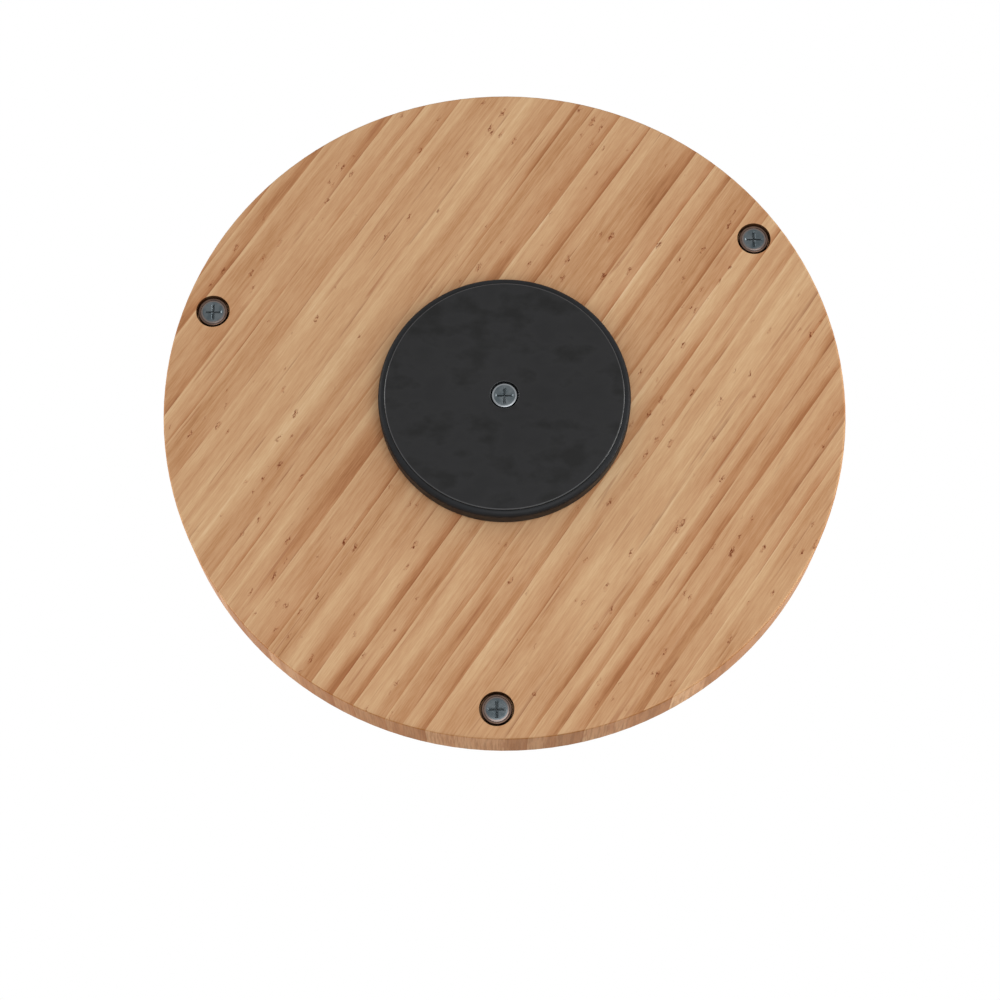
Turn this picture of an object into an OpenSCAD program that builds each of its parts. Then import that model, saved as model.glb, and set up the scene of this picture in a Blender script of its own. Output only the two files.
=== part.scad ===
// Lazy susan turntable: a round wooden board on a low ball-bearing base, with a low gallery rail.
// The base stands on the table at z = 0, the board turns about the Z axis, and the rail opens to the front (-Y).
// All lengths are in millimetres.

/* [Board] */
// Diameter of the wooden board
board_d = 254; // [220:1:400]
// Thickness of the wooden board
board_t = 22; // [18:0.5:30]
// Radius of the rounded edges of the board
board_edge_r = 1; // [0.5:0.1:3]

/* [Base] */
// Outer diameter of the moulded base shell
base_d = 93.5; // [90:0.5:140]
// Thickness of the shell's outer wall
shell_wall = 2.5; // [2:0.1:4]
// Thickness of the shell's floor above the pad
shell_floor = 1.7; // [1.5:0.1:4]
// Radius of the shell's rounded lower shoulder
shoulder_r = 2; // [1:0.1:2.2]
// Gap between the shell's rim and the board
board_gap = 1.25; // [0.6:0.05:2]
// Thickness of the stiffening ribs inside the shell
rib_t = 1.2; // [0.8:0.1:2.5]
// Number of stiffening ribs inside the shell
rib_count = 8; // [4:1:16]

/* [Pad] */
// Depth to which the non-slip pad is sunk in the shell
pad_sunk = 1; // [0.6:0.1:1.5]
// Height by which the pad stands out of the shell
pad_proud = 0.5; // [0.3:0.1:1.2]
// Width of shell left outside the pad
pad_margin = 2.3; // [2.3:0.1:6]
// Radius of the pad's rounded lower edge
pad_edge_r = 0.3; // [0.1:0.05:0.3]

/* [Bearing] */
// Diameter of the circle on which the balls roll
ball_circle_d = 66; // [60:0.5:68]
// Diameter of the bearing balls
ball_d = 4.5; // [4:0.1:5.5]
// Number of bearing balls
ball_count = 24; // [12:1:28]
// Thickness of the lower race
lower_race_t = 1.2; // [1:0.1:2]
// Thickness of the upper race plate
upper_race_t = 1.4; // [1.4:0.1:2.5]
// Width of the race track
race_w = 9; // [8:0.5:11]
// Depth of the groove pressed in each race
groove_depth = 0.5; // [0.3:0.05:0.6]
// Width of the ball cage
cage_w = 7; // [6.5:0.1:8]

/* [Bearing fasteners] */
// Diameter of the circle of screws that hold the upper race plate
plate_screw_circle_d = 40; // [30:1:46]
// Number of screws that hold the upper race plate
plate_screw_count = 4; // [3:1:6]
// Length of the upper race plate's screws
plate_screw_l = 12; // [8:0.5:14]
// Thread diameter of the upper race plate's screws
plate_screw_d = 2.9; // [2.5:0.1:3.2]
// Head diameter of the upper race plate's screws
plate_screw_head_d = 5.5; // [5:0.1:5.6]

/* [Centre pivot] */
// Depth of the screw head below the face of the pad
head_sink = 0.5; // [0.2:0.1:1]
// Thickness of the thrust washer at the centre
thrust_washer_t = 0.6; // [0.4:0.1:1]
// Outer diameter of the sleeve on which the base turns
sleeve_d = 6.5; // [6:0.1:7]
// Outer diameter of the threaded insert in the board
insert_d = 8; // [7:0.1:10]
// Length of the threaded insert in the board
insert_l = 12; // [10:0.5:14]
// Diameter of the hub inside the shell
hub_d = 16; // [14:0.5:20]

/* [Pan head screws] */
// Thread diameter of the pan head screws
screw_d = 4.8; // [4.5:0.1:5]
// Head diameter of the pan head screws
head_d = 9.3; // [8.8:0.1:10]
// Head height of the pan head screws
head_h = 3; // [2.6:0.1:3.2]
// Radius of the rounded edge of the head
head_edge_r = 0.9; // [0.3:0.1:1.5]
// Width across the cross recess in the head
cross_w = 5.8; // [4:0.1:6.4]
// Width of one slot of the cross recess
cross_slot = 1.2; // [0.8:0.1:1.6]
// Depth of the cross recess
cross_depth = 1.6; // [0.8:0.1:2]
// Turn of the cross recesses about their screws
cross_turn = 35; // [0:1:89]

/* [Rim screws] */
// Length of each rim screw's thread that is held in its post
post_thread = 7.5; // [5:0.5:9]
// Diameter of the counterbores in the board
counterbore_d = 12.7; // [12.2:0.1:16]
// Depth of the screw heads below the face of the board
rim_head_sink = 0.4; // [0.2:0.1:1.5]
// Outer diameter of the cup washers round the heads
washer_d = 11.1; // [11.1:0.1:12]
// Thickness of the cup washers' floors
washer_t = 1.2; // [0.8:0.1:1.6]
// Radius of the cup washers' rounded lips
washer_edge_r = 0.3; // [0.1:0.05:0.3]

/* [Gallery rail] */
// Distance of the posts' centres from the edge of the board
post_inset = 11; // [9:0.1:20]
// Angle of the open front between the end posts
rail_opening = 107.2; // [60:0.1:180]
// Diameter of the round bar of the rail
rail_d = 5; // [4:0.1:6]
// Height of the rail's centre line above the board
rail_height = 17; // [16:0.5:20]
// Diameter of the ball at the top of a post
post_ball_d = 12; // [11:0.5:14]
// Diameter of the post's shank
post_shank_d = 8; // [7.5:0.1:9]
// Radius of the hollow between the post's shank and its foot
post_cove_r = 2; // [0.5:0.1:2.5]
// Diameter of the post's foot
post_foot_d = 15; // [13.5:0.5:17]
// Thickness of the post's foot
post_foot_t = 1.8; // [1.5:0.1:3]
// Depth to which the rail's ends enter the end posts
rail_grip = 9; // [8:0.1:10]
// Thread diameter of the set screws in the posts
set_screw_d = 3; // [2.5:0.1:3]
// Length of the set screws in the posts
set_screw_l = 3; // [2:0.1:3]

/* [Hidden] */
$fn = 96;

// Clearances
run_clear = 0.05;      // radial, between the turning sleeve and the hub's bore
end_play = 0.1;        // axial, between the thrust washer and the hub
race_clear = 0.1;      // between a ball and each groove's bottom
groove_clear = 0.15;   // groove radius over ball radius
pocket_clear = 0.15;   // radial, between a ball and its pocket
cage_clear = 0.3;      // between the cage and each race
seat_clear = 0.1;      // radial, between a fixed piece and its seat
hub_clear = 0.5;       // between the top of the hub and the upper race plate
head_clear = 0.5;      // radial, between a screw head and the recess round it
screw_clear = 0.1;     // radial, between a screw and a plain hole
cup_clear = 0.2;       // radial, between a rim screw's head and its cup washer
rail_clear = 0.2;      // radial, between the curved rail and a straight bore
end_clear = 0.2;       // between the rail's ends and the bottoms of their bores
hole_past = 0.5;       // depth of a blind hole past the tip of its screw
tip_past = 1;          // length of the centre screw past the end of its insert
cut = 1;               // overrun of a cutting shape past a face

// Heights, from the table up
pad_t = pad_sunk + pad_proud;
floor_top_z = pad_t + shell_floor;
lower_race_top_z = floor_top_z + lower_race_t;
ball_z = lower_race_top_z - groove_depth + race_clear + ball_d / 2;
upper_race_z = ball_z + ball_d / 2 + race_clear - groove_depth;
board_z = upper_race_z + upper_race_t;
board_top_z = board_z + board_t;
shell_top_z = board_z - board_gap;
hub_top_z = upper_race_z - hub_clear;
rib_top_z = lower_race_top_z;
rail_z = board_top_z + rail_height;

// Centre pivot, from the table up
centre_head_z = head_sink + head_h;
sleeve_z = centre_head_z + thrust_washer_t;
hub_seat_z = sleeve_z + end_play;
head_recess_d = head_d + 2 * head_clear;
centre_screw_l = board_z + insert_l + tip_past - centre_head_z;

// Rim screws, from the board down
rim_crown_z = board_z + rim_head_sink;
rim_head_z = rim_crown_z + head_h;
counterbore_z = rim_head_z + washer_t;
rim_screw_l = board_top_z + post_thread - rim_head_z;

// Bearing radii
ball_r = ball_circle_d / 2;
race_in_r = ball_r - race_w / 2;
race_out_r = ball_r + race_w / 2;
plate_lip = 1;
groove_r = ball_d / 2 + groove_clear;

// Posts
rail_r = board_d / 2 - post_inset;
post_span = (360 - rail_opening) / 2;
post_angles = [90 - post_span, 90, 90 + post_span];
grip_angle = asin((post_ball_d / 2 - rail_grip + end_clear) / rail_r);

wood = "#C69A6C";
black_plastic = "#2F2F30";
black_rubber = "#343434";
zinc = "#7C878C";
bright_steel = "#B9BDC0";
black_steel = "#1F2021";
white_nylon = "#E4E0D2";
brass = "#B8934A";

// Places its children at the post with the given number, turned so that +X points away from the axis.
module at_post(i) {
    rotate([0, 0, post_angles[i]]) translate([rail_r, 0, 0]) children();
}

// Cuts the corner of a profile: a square of side r, less the quarter circle that rounds it.
module corner_cut(r) {
    difference() {
        square(r + cut);
        circle(r);
    }
}

// Solid disc standing on z = 0 with its lower and upper outer edges rounded.
module round_disc(d, h, low_r, high_r) {
    rotate_extrude() difference() {
        square([d / 2, h]);
        if (low_r > 0) translate([d / 2 - low_r, low_r]) mirror([0, 1]) corner_cut(low_r);
        if (high_r > 0) translate([d / 2 - high_r, h - high_r]) corner_cut(high_r);
    }
}

// Hollow moulding round a shaft of the given radius, standing on z = 0.
module cove(shaft_r, r) {
    rotate_extrude() difference() {
        square([shaft_r + r, r]);
        translate([shaft_r + r, r]) circle(r);
    }
}

// Flat ring between two radii, standing on z = 0.
module ring(in_r, out_r, h) {
    difference() {
        cylinder(r = out_r, h = h);
        translate([0, 0, -cut]) cylinder(r = in_r, h = h + 2 * cut);
    }
}

// Round groove that the balls roll in, centred on z = 0.
module ball_groove() {
    rotate_extrude() translate([ball_r, 0]) circle(groove_r);
}

// Cross recess, opening downwards at z = 0.
module cross_recess(w, slot, depth) {
    for (turn = [0, 90])
        rotate([0, 0, turn]) translate([-w / 2, -slot / 2, -cut]) cube([w, slot, depth + cut]);
    translate([0, 0, -cut]) cylinder(d = 2 * slot, h = depth + cut);
}

// Pan head screw: the head hangs below z = 0 and the shank stands above it.
module pan_screw(l) {
    difference() {
        union() {
            translate([0, 0, -head_h]) round_disc(head_d, head_h, head_edge_r, 0);
            cylinder(d = screw_d, h = l - screw_d / 2);
            translate([0, 0, l - screw_d / 2]) cylinder(d1 = screw_d, d2 = screw_d / 2, h = screw_d / 2);
        }
        translate([0, 0, -head_h]) rotate([0, 0, cross_turn]) cross_recess(cross_w, cross_slot, cross_depth);
    }
}

// Countersunk screw: the flat of the head lies at z = 0 and the shank stands above it.
module countersunk_screw() {
    cone_h = (plate_screw_head_d - plate_screw_d) / 2;
    difference() {
        union() {
            cylinder(d1 = plate_screw_head_d, d2 = plate_screw_d, h = cone_h);
            cylinder(d = plate_screw_d, h = plate_screw_l - plate_screw_d);
            translate([0, 0, plate_screw_l - plate_screw_d])
                cylinder(d1 = plate_screw_d, d2 = plate_screw_d / 4, h = plate_screw_d);
        }
        cross_recess(plate_screw_d, plate_screw_d / 5, cone_h / 2);
    }
}

// Places its children at each screw of the upper race plate.
module at_plate_screws() {
    for (i = [0 : plate_screw_count - 1])
        rotate([0, 0, (i + 0.5) * 360 / plate_screw_count]) translate([plate_screw_circle_d / 2, 0, upper_race_z])
            children();
}

// Places its children at each ball.
module at_balls() {
    for (i = [0 : ball_count - 1])
        rotate([0, 0, i * 360 / ball_count]) translate([ball_r, 0, ball_z]) children();
}

// Moulded shell: a shallow cup with a hub, a seat for the lower race and stiffening ribs.
module base_shell() {
    in_r = base_d / 2 - shell_wall;
    seat_in_r = race_in_r - seat_clear;
    seat_out_r = race_out_r + seat_clear;
    color(black_plastic) difference() {
        union() {
            difference() {
                translate([0, 0, pad_proud]) round_disc(base_d, shell_top_z - pad_proud, shoulder_r, 0.5);
                translate([0, 0, floor_top_z]) cylinder(r = in_r, h = shell_top_z);
            }
            cylinder(d = hub_d, h = hub_top_z);
            translate([0, 0, pad_t]) ring(seat_in_r - rib_t, seat_in_r, rib_top_z - pad_t);
            translate([0, 0, pad_t]) ring(seat_out_r, seat_out_r + rib_t, rib_top_z - pad_t);
            for (i = [0 : rib_count - 1]) rotate([0, 0, i * 360 / rib_count]) {
                translate([hub_d / 4, -rib_t / 2, pad_t])
                    cube([seat_in_r - rib_t / 2 - hub_d / 4, rib_t, rib_top_z - pad_t]);
                translate([seat_out_r + rib_t / 2, -rib_t / 2, pad_t])
                    cube([in_r + shell_wall / 2 - seat_out_r - rib_t / 2, rib_t, rib_top_z - pad_t]);
            }
        }
        translate([0, 0, -cut]) cylinder(d = base_d - 2 * pad_margin + 2 * seat_clear, h = pad_t + cut);
        translate([0, 0, -cut]) cylinder(d = head_recess_d, h = hub_seat_z + cut);
        cylinder(d = sleeve_d + 2 * run_clear, h = hub_top_z + cut);
    }
}

// Non-slip pad on which the turntable stands.
module base_pad() {
    color(black_rubber) difference() {
        round_disc(base_d - 2 * pad_margin, pad_t, pad_edge_r, 0);
        translate([0, 0, -cut]) cylinder(d = head_recess_d, h = pad_t + 2 * cut);
    }
}

// Pressed steel ring on which the balls roll.
module lower_race() {
    color(bright_steel) difference() {
        translate([0, 0, floor_top_z]) ring(race_in_r, race_out_r, lower_race_t);
        translate([0, 0, lower_race_top_z - groove_depth + groove_r]) ball_groove();
    }
}

// Nylon ring that keeps the balls apart.
module ball_cage() {
    cage_z = lower_race_top_z + cage_clear;
    cage_h = upper_race_z - lower_race_top_z - 2 * cage_clear;
    color(white_nylon) difference() {
        translate([0, 0, cage_z]) ring(ball_r - cage_w / 2, ball_r + cage_w / 2, cage_h);
        at_balls() translate([0, 0, -ball_d]) cylinder(d = ball_d + 2 * pocket_clear, h = 2 * ball_d);
    }
}

// Steel balls of the bearing.
module bearing_balls() {
    color(bright_steel) at_balls() sphere(d = ball_d);
}

// Steel plate under the board that runs on the balls.
module upper_race() {
    cone_h = (plate_screw_head_d - plate_screw_d) / 2;
    color(bright_steel) difference() {
        translate([0, 0, upper_race_z]) cylinder(r = race_out_r + plate_lip, h = upper_race_t);
        translate([0, 0, upper_race_z + groove_depth - groove_r]) ball_groove();
        translate([0, 0, upper_race_z - cut]) cylinder(d = screw_d + 2 * screw_clear, h = upper_race_t + 2 * cut);
        at_plate_screws() {
            cylinder(d1 = plate_screw_head_d, d2 = plate_screw_d, h = cone_h);
            cylinder(d = plate_screw_d, h = upper_race_t + cut);
        }
    }
}

// Countersunk screws that hold the upper race plate to the board.
module plate_screws() {
    color(zinc) at_plate_screws() countersunk_screw();
}

// Pan head screw on the axis that holds the base to the board.
module centre_screw() {
    color(zinc) translate([0, 0, centre_head_z]) pan_screw(centre_screw_l);
}

// Nylon washer that turns on the hub and carries the base when the turntable is lifted.
module thrust_washer() {
    color(white_nylon) translate([0, 0, centre_head_z])
        ring(screw_d / 2 + screw_clear, head_d / 2, thrust_washer_t);
}

// Steel sleeve round the centre screw, clamped between the thrust washer and the upper race plate.
module pivot_sleeve() {
    color(bright_steel) translate([0, 0, sleeve_z])
        ring(screw_d / 2 + screw_clear, sleeve_d / 2, upper_race_z - sleeve_z);
}

// Brass insert in the board that takes the centre screw.
module threaded_insert() {
    color(brass) translate([0, 0, board_z]) ring(screw_d / 2, insert_d / 2, insert_l);
}

// Round board of edge-glued staves, with its counterbores, screw holes and insert hole.
module board() {
    insert_hole_l = insert_l + tip_past + hole_past;
    color(wood) difference() {
        translate([0, 0, board_z]) round_disc(board_d, board_t, board_edge_r, board_edge_r);
        for (i = [0 : 2]) at_post(i) {
            translate([0, 0, board_z - cut]) cylinder(d = counterbore_d, h = counterbore_z - board_z + cut);
            translate([0, 0, board_z]) cylinder(d = screw_d + 2 * screw_clear, h = board_t + cut);
        }
        translate([0, 0, board_z - cut]) cylinder(d = insert_d, h = insert_hole_l + cut);
        at_plate_screws() cylinder(d = plate_screw_d, h = plate_screw_l + hole_past);
    }
}

// Pan head screw that holds one post to the board.
module rim_screw(i) {
    color(zinc) at_post(i) translate([0, 0, rim_head_z]) rotate([0, 0, -post_angles[i]]) pan_screw(rim_screw_l);
}

// Cup washer in the counterbore: a floor under the rim screw's head and a wall round it.
module rim_washer(i) {
    color(zinc) at_post(i) difference() {
        translate([0, 0, rim_crown_z]) round_disc(washer_d, counterbore_z - rim_crown_z, washer_edge_r, 0);
        translate([0, 0, rim_crown_z - cut]) cylinder(d = head_d + 2 * cup_clear, h = head_h + cut);
        translate([0, 0, rim_crown_z]) cylinder(d = screw_d + 2 * screw_clear, h = head_h + washer_t + cut);
    }
}

// Turned post with a foot, a shank and a ball that holds the rail; the middle post is bored right through.
module rail_post(i) {
    side = i == 0 ? 1 : -1;
    bore_d = rail_d + 2 * rail_clear;
    color(black_steel) at_post(i) difference() {
        union() {
            translate([0, 0, board_top_z]) round_disc(post_foot_d, post_foot_t, 0, post_foot_t / 2);
            translate([0, 0, board_top_z]) cylinder(d = post_shank_d, h = rail_height);
            translate([0, 0, board_top_z + post_foot_t]) cove(post_shank_d / 2, post_cove_r);
            translate([0, 0, rail_z]) sphere(d = post_ball_d);
        }
        translate([0, 0, board_top_z - cut]) cylinder(d = screw_d, h = post_thread + hole_past + cut);
        if (i == 1)
            translate([0, 0, rail_z]) rotate([90, 0, 0])
                cylinder(d = bore_d, h = post_ball_d + 2 * cut, center = true);
        else
            translate([0, side * (post_ball_d / 2 - rail_grip), rail_z]) rotate([-side * 90, 0, 0])
                cylinder(d = bore_d, h = post_ball_d + cut);
        translate([rail_d / 2, 0, rail_z]) rotate([0, 90, 0]) cylinder(d = set_screw_d, h = post_ball_d);
    }
}

// Round bar bent to an open ring, held in the three posts.
module gallery_rail() {
    from = post_angles[0] + grip_angle;
    color(black_steel) translate([0, 0, rail_z]) rotate([0, 0, from])
        rotate_extrude(angle = 2 * (post_span - grip_angle)) translate([rail_r, 0]) circle(d = rail_d);
}

// Set screws that lock the rail in the posts, from the outside.
module set_screws() {
    color(zinc) for (i = [0 : 2]) at_post(i) translate([rail_d / 2, 0, rail_z]) rotate([0, 90, 0]) difference() {
        cylinder(d = set_screw_d, h = set_screw_l);
        translate([0, 0, set_screw_l / 2]) cylinder(d = set_screw_d / 2, h = set_screw_l, $fn = 6);
    }
}

base_shell();
base_pad();
lower_race();
ball_cage();
bearing_balls();
upper_race();
plate_screws();
centre_screw();
thrust_washer();
pivot_sleeve();
threaded_insert();
board();
rim_screw(0);  // rim_screw_1
rim_screw(1);  // rim_screw_2
rim_screw(2);  // rim_screw_3
rim_washer(0);  // rim_washer_1
rim_washer(1);  // rim_washer_2
rim_washer(2);  // rim_washer_3
rail_post(0);  // rail_post_1
rail_post(1);  // rail_post_2
rail_post(2);  // rail_post_3
gallery_rail();
set_screws();
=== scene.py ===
"""Looks of a lazy susan turntable: a round board of oiled staves on a low black ball-bearing base.

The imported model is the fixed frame. Each sub-assembly below builds the pieces that need a finer form
than the frame gives them and dresses every piece with a finish. Sizes are in millimetres and angles in
degrees until a mesh is made, because the frame is in metres.
"""

import logging
import math
from collections.abc import Iterable, Sequence
from dataclasses import dataclass, field
from enum import Enum
from typing import Any

import bmesh
import bpy
from mathutils import Matrix, Vector


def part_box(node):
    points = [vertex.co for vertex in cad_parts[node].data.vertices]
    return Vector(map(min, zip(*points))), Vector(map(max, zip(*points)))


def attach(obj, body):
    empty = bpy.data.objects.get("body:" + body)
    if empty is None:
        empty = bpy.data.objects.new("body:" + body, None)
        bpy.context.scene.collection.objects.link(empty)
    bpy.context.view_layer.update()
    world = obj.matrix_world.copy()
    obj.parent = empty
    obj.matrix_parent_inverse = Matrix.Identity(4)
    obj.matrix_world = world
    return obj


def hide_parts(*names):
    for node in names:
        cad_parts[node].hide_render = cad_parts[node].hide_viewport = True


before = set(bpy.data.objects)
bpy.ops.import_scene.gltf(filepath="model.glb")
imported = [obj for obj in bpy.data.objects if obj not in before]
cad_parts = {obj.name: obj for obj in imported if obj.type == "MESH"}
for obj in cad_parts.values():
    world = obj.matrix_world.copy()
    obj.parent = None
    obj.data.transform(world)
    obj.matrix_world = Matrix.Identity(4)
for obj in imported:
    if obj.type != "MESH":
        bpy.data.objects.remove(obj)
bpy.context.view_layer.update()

log = logging.getLogger("turntable")

MM = 0.001  # metres in a millimetre
SHARP_DEG = 32.0  # edges that turn more than this stay sharp

Profile = Sequence[tuple[float, float]]


class Body(Enum):
    """Bodies of the frame that new pieces ride on."""

    BASE = "base"
    BOARD = "board"


class Slot(Enum):
    """Material slots of the record. Nothing in this script gives them to a piece."""

    PAD_RUBBER = "pad_rubber"
    ZINC_STEEL = "zinc_steel"


# ---------------------------------------------------------------- materials


def linear(hex_colour: str) -> tuple[float, float, float, float]:
    """Turns an sRGB hex colour into linear light.

    Args:
        hex_colour: six hex digits with a leading #.

    Returns:
        Red, green, blue and an alpha of one.
    """
    parts = (int(hex_colour[i : i + 2], 16) / 255 for i in (1, 3, 5))
    red, green, blue = (p / 12.92 if p <= 0.04045 else ((p + 0.055) / 1.055) ** 2.4 for p in parts)
    return red, green, blue, 1.0


def add_node(
    tree: bpy.types.NodeTree,
    kind: str,
    *values: Any,
    named: dict[str, Any] | None = None,
    stops: dict[float, str] | None = None,
    **settings: Any,
) -> bpy.types.Node:
    """Adds one shader node with its settings and links.

    Args:
        tree: node tree of the material or world.
        kind: type of the node, without the leading ShaderNode.
        values: what the first inputs get, in order: a value, an output to link, a node whose first output
            to link, or None to leave the input as it is.
        named: the same by the input's name.
        stops: sRGB hex colours by position, for a colour ramp.
        settings: attributes of the node, such as operation.

    Returns:
        The new node.
    """
    node = tree.nodes.new(f"ShaderNode{kind}")
    for name, value in settings.items():
        setattr(node, name, value)
    for name, value in [*enumerate(values), *(named or {}).items()]:
        source = value.outputs[0] if isinstance(value, bpy.types.Node) else value
        if isinstance(source, bpy.types.NodeSocket):
            tree.links.new(source, node.inputs[name])
        elif source is not None:
            node.inputs[name].default_value = source
    for i, (position, colour) in enumerate(sorted((stops or {}).items())):
        elements = node.color_ramp.elements
        element = elements[i] if i < len(elements) else elements.new(position)
        element.position, element.color = position, linear(colour)
    return node


@dataclass(frozen=True)
class Finish:
    """What a surface is made of and how it was made. A subclass paints it."""

    name: str = "finish"

    def material(self) -> bpy.types.Material:
        """Returns the finish's material, made when it is first asked for."""
        return bpy.data.materials.get(self.name) or self._make()

    def _make(self) -> bpy.types.Material:
        """Makes the material with one Principled shader and what paint gives it.

        Returns:
            The new material.
        """
        made = bpy.data.materials.new(self.name)
        made.use_nodes = True
        tree = made.node_tree
        tree.nodes.clear()
        place = add_node(tree, "TexCoord").outputs["Object"]
        add_node(tree, "OutputMaterial", add_node(tree, "BsdfPrincipled", named=self.paint(tree, place)))
        return made

    def paint(self, tree: bpy.types.NodeTree, place: bpy.types.NodeSocket) -> dict[str, Any]:
        """Adds the finish's own nodes.

        Args:
            tree: node tree of the material.
            place: Object coordinates, in metres.

        Returns:
            What each input of the Principled shader gets.
        """
        raise NotImplementedError


@dataclass(frozen=True)
class Figure:
    """Uneven pattern whose features have a real size along each axis, as the figure of wood does.

    It runs from 0 to 1, but nearly all of it lies between 0.35 and 0.65, so ramps over it span that range.
    """

    cell: tuple[float, float, float]  # size of one feature along x, y and z
    detail: float = 2.0  # octaves of finer pattern on top
    seed: float = 0.0  # shift that makes this pattern differ from others

    def spread(self, tree: bpy.types.NodeTree, place: Any, unit: float = 1.0) -> bpy.types.Node:
        """Spreads the pattern over a surface.

        Args:
            tree: node tree of the material.
            place: coordinates on the surface.
            unit: what one millimetre is in those coordinates.

        Returns:
            The pattern, from 0 to 1.
        """
        shares = tuple(1 / (c * unit) for c in self.cell)
        shift = (self.seed, self.seed * 1.7, self.seed * 0.6)
        scaled = add_node(tree, "VectorMath", place, shares, shift, operation="MULTIPLY_ADD")
        return add_node(tree, "TexNoise", named={"Vector": scaled, "Scale": 1.0, "Detail": self.detail})


@dataclass(frozen=True)
class Flecks:
    """Small stains in loose groups, each one broken up into flecks."""

    slant: float  # angle of the stains to the grain
    seed: float  # shift that makes these stains differ from others
    spacing: tuple[float, float, float] = (7.5, 2.6, 14.0)  # of stains along, across and into the grain
    waver: float = 2.0  # how far their outlines waver
    reach: float = 0.38  # radius of the largest stain, as a share of the spacing
    soft: float = 0.2  # width over which a stain fades out, as a share of the spacing
    group: tuple[float, float, float] = (38.0, 20.0, 26.0)  # size of a loose group
    fleck: tuple[float, float, float] = (1.5, 0.4, 1.0)  # size of one fleck
    stain_strength: float = 0.24
    stain_colour: str = "#AE6840"
    fleck_strength: float = 1.0
    fleck_colour: str = "#733A22"

    def scatter(
        self, tree: bpy.types.NodeTree, grain: bpy.types.Node, face: bpy.types.Node
    ) -> tuple[tuple[bpy.types.Node, float, str], ...]:
        """Scatters the stains over the board.

        Args:
            tree: node tree of the material.
            grain: coordinates along and across the grain.
            face: one on the faces that show stains and 0 elsewhere.

        Returns:
            For the stains and then the flecks in them: where they are, their strength and their colour.
        """
        ragged = add_node(tree, "TexNoise", named={"Vector": grain, "Scale": 0.8, "Detail": 2.0})
        waver = (self.waver,) * 3
        bent = add_node(tree, "VectorMath", ragged.outputs["Color"], waver, grain, operation="MULTIPLY_ADD")
        slanted = add_node(tree, "Mapping", bent, None, (0, 0, math.radians(self.slant)))
        shares, shift = tuple(1 / s for s in self.spacing), (self.seed,) * 3
        cell = add_node(tree, "VectorMath", slanted, shares, shift, operation="MULTIPLY_ADD")
        spot = add_node(tree, "TexVoronoi", cell, named={"Scale": 1.0})
        # Half of the places stay bare, and so does the wood between the groups.
        chance = add_node(tree, "SeparateColor", spot.outputs["Color"])
        likely = add_node(tree, "MapRange", chance, 0.5, 1.0, interpolation_type="SMOOTHSTEP")
        groups = Figure(self.group, 1, self.seed).spread(tree, grain)
        grouped = add_node(tree, "MapRange", groups, 0.38, 0.6, 0.0, face, interpolation_type="SMOOTHSTEP")
        size = add_node(tree, "Math", likely, grouped, operation="MULTIPLY")
        size = add_node(tree, "Math", size, self.reach, operation="MULTIPLY")
        depth = add_node(tree, "Math", size, spot.outputs["Distance"], operation="SUBTRACT")
        stain = add_node(tree, "MapRange", depth, 0.0, self.soft, interpolation_type="SMOOTHSTEP")
        bits = add_node(tree, "MapRange", Figure(self.fleck, 2, self.seed).spread(tree, slanted), 0.48, 0.6)
        flecks = add_node(tree, "Math", stain, bits, operation="MULTIPLY")
        return (
            (stain, self.stain_strength, self.stain_colour),
            (flecks, self.fleck_strength, self.fleck_colour),
        )


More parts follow.
